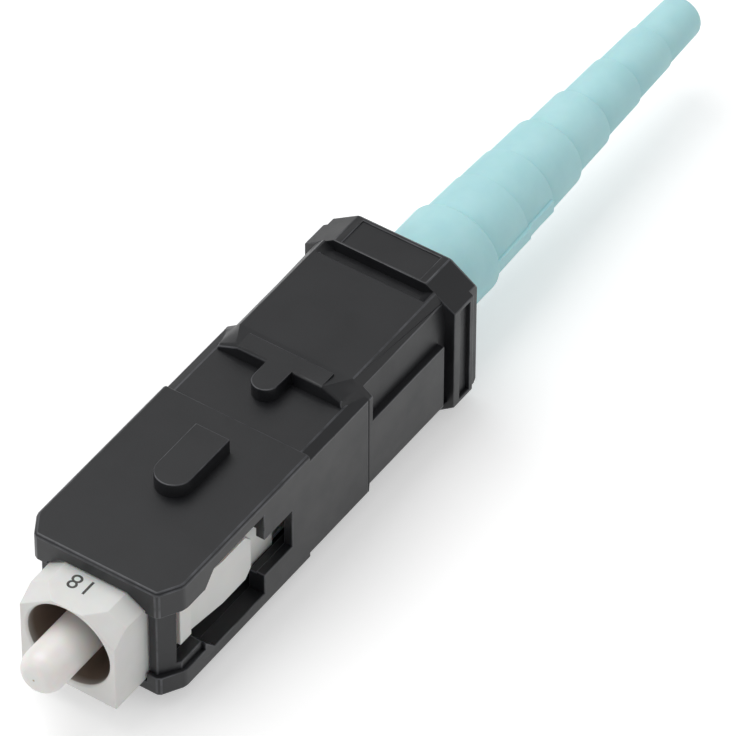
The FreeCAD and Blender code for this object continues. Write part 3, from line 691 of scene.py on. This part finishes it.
# %% [markdown]
# ## The ferrule
#
# The ferrule holds the fibre in the middle of its polished end and is what the plug aligns by.
# Its front edge is ground to a cone and then polished in a long round, so no hard line is left on it.
# It is turned like the boot. The cone and the round are one quarter of an ellipse, within the model's cone.

# %% Turn the ferrule
FACE_RADIUS = 0.5 * MM
POLISH_LENGTH = 1.0 * MM
POLISH_STEPS = 10
SHANK_START = 2.6 * MM

ferrule_tip, ferrule_back = (corner[1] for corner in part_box("ferrule"))
barrel = radius_at("ferrule", 0.0)
shank = radius_at("ferrule", (SHANK_START + ferrule_back) / 2)
polish = (math.pi / 2 * step / POLISH_STEPS for step in range(POLISH_STEPS + 1))
outline = [(FACE_RADIUS + (barrel - FACE_RADIUS) * math.sin(turn),
            ferrule_tip + POLISH_LENGTH * (1 - math.cos(turn))) for turn in polish]
outline += [(barrel, SHANK_START), (shank, SHANK_START), (shank, ferrule_back)]
ferrule = turned("ferrule_turned", outline + bore_wall("ferrule"), ZIRCONIA)
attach(ferrule, frame["nodes"]["ferrule"]["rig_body"])
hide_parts("ferrule")
print("the ferrule is", round(2 * barrel / MM, 2), "mm across, and its tip is",
      round(abs(ferrule_tip) / MM, 2), "mm in front of the grip")

# %% [markdown]
# ## The plug frame and its cavity number
#
# The frame is the light moulding that the grip slides on. It gets rounded edges like the grip's, only finer.
# Frames come out of a tool with many cavities, and each carries its cavity's number in small printed digits.
# A texture could carry them, but flat letters cut from a font stay sharp at any size,
# and laid just above the plastic they are enough for ink this thin. A ray finds the plastic under them first.

# %% Round the frame
NUMBER_X, NUMBER_Y = -0.3 * MM, -0.68 * MM
FRAME_ROUND_MM = 0.04

above = Vector((NUMBER_X, NUMBER_Y, FAR_OUT))
nose_top = frame["nodes"]["plug_frame"].ray_cast(above, Vector((0, 0, -1)))[1].z
rounded("plug_frame", FRAME_ROUND_MM)
print("the number goes", round(nose_top / MM, 2), "mm above the axis")

# %% Print the number on the nose
DIGITS = "18"
DIGIT_HEIGHT = 1.4 * MM
DIGIT_SPACING = 1.15
INK_THICKNESS = 0.006 * MM
INK = moulded(
    "grey_pad_print_ink", "54524F", "454340", gloss=0.6, grain_mm=0.05, relief_mm=0.001, drift_mm=0.4)

letters = bpy.data.curves.new("number", "FONT")
letters.body = DIGITS
letters.size = DIGIT_HEIGHT
letters.align_x = "CENTER"
letters.align_y = "CENTER"
letters.extrude = INK_THICKNESS
letters.space_character = DIGIT_SPACING
letters.materials.append(INK)
number = bpy.data.objects.new("cavity_number", letters)
number.location = (NUMBER_X, NUMBER_Y, nose_top)
number.rotation_euler = (0, 0, math.pi)
scene.collection.objects.link(number)
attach(number, frame["nodes"]["plug_frame"]["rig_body"])
print("the number", DIGITS, "is", DIGIT_HEIGHT / MM, "mm high")

# %% [markdown]
# ## The spring
#
# The spring pushes the ferrule forward, so that two polished ends stay pressed together in an adapter.
# It is wound from round wire. A bevelled curve could make it too, but points worked out in code put both its
# ends just where the model spring's are, so a ring of points is carried along a helix.

# %% Wind the spring
WIRE = 0.42 * MM
TURNS = 5
STEPS_A_TURN = 40
WIRE_SIDES = 14

(spring_side, spring_front, _), (_, spring_seat, _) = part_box("coil_spring")
coil_radius = abs(spring_side) - WIRE / 2
steps = TURNS * STEPS_A_TURN


def wire_ring(step):
    """The points round the wire at one step along the helix."""
    first, last = spring_front + WIRE / 2, spring_seat - WIRE / 2
    turn = 2 * math.pi * step / STEPS_A_TURN
    y = first + (last - first) * step / steps
    for side in range(WIRE_SIDES):
        around = 2 * math.pi * side / WIRE_SIDES
        out = coil_radius + WIRE / 2 * math.cos(around)
        yield out * math.cos(turn), y + WIRE / 2 * math.sin(around), out * math.sin(turn)


def wound_spring():
    """A round wire on a helix between the model spring's own two ends."""
    points = [point for step in range(steps + 1) for point in wire_ring(step)]
    faces = []
    for step in range(steps):
        for side in range(WIRE_SIDES):
            here = step * WIRE_SIDES + side
            beside = step * WIRE_SIDES + (side + 1) % WIRE_SIDES
            faces.append((here, beside, beside + WIRE_SIDES, here + WIRE_SIDES))
    faces.append(tuple(range(WIRE_SIDES))[::-1])
    faces.append(tuple(range(steps * WIRE_SIDES, (steps + 1) * WIRE_SIDES)))
    shape = bpy.data.meshes.new("coil_spring_wound")
    shape.from_pydata(points, [], faces)
    for face in shape.polygons:
        face.use_smooth = True
    shape.materials.append(SPRING_WIRE)
    piece = bpy.data.objects.new("coil_spring_wound", shape)
    scene.collection.objects.link(piece)
    return piece


spring = wound_spring()
print("the spring has", len(spring.data.polygons), "faces")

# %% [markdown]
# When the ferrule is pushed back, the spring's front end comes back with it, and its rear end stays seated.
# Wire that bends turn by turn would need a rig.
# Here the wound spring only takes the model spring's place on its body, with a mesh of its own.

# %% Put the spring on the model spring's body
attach(spring, frame["nodes"]["coil_spring"]["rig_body"])
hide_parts("coil_spring")
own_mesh(spring)

# %% [markdown]
# ## The sizes
#
# A dressed model that outgrows its engineering model would no longer fit anything.
# So the boxes of the two are printed one after the other.

# %% Print the sizes and finish
size = {"cad": cad_box, "visual": [list(corner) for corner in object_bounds()]}
for name, box in size.items():
    print("the", name, "box is", [round((high - low) / MM, 2) for low, high in zip(*box)], "mm")
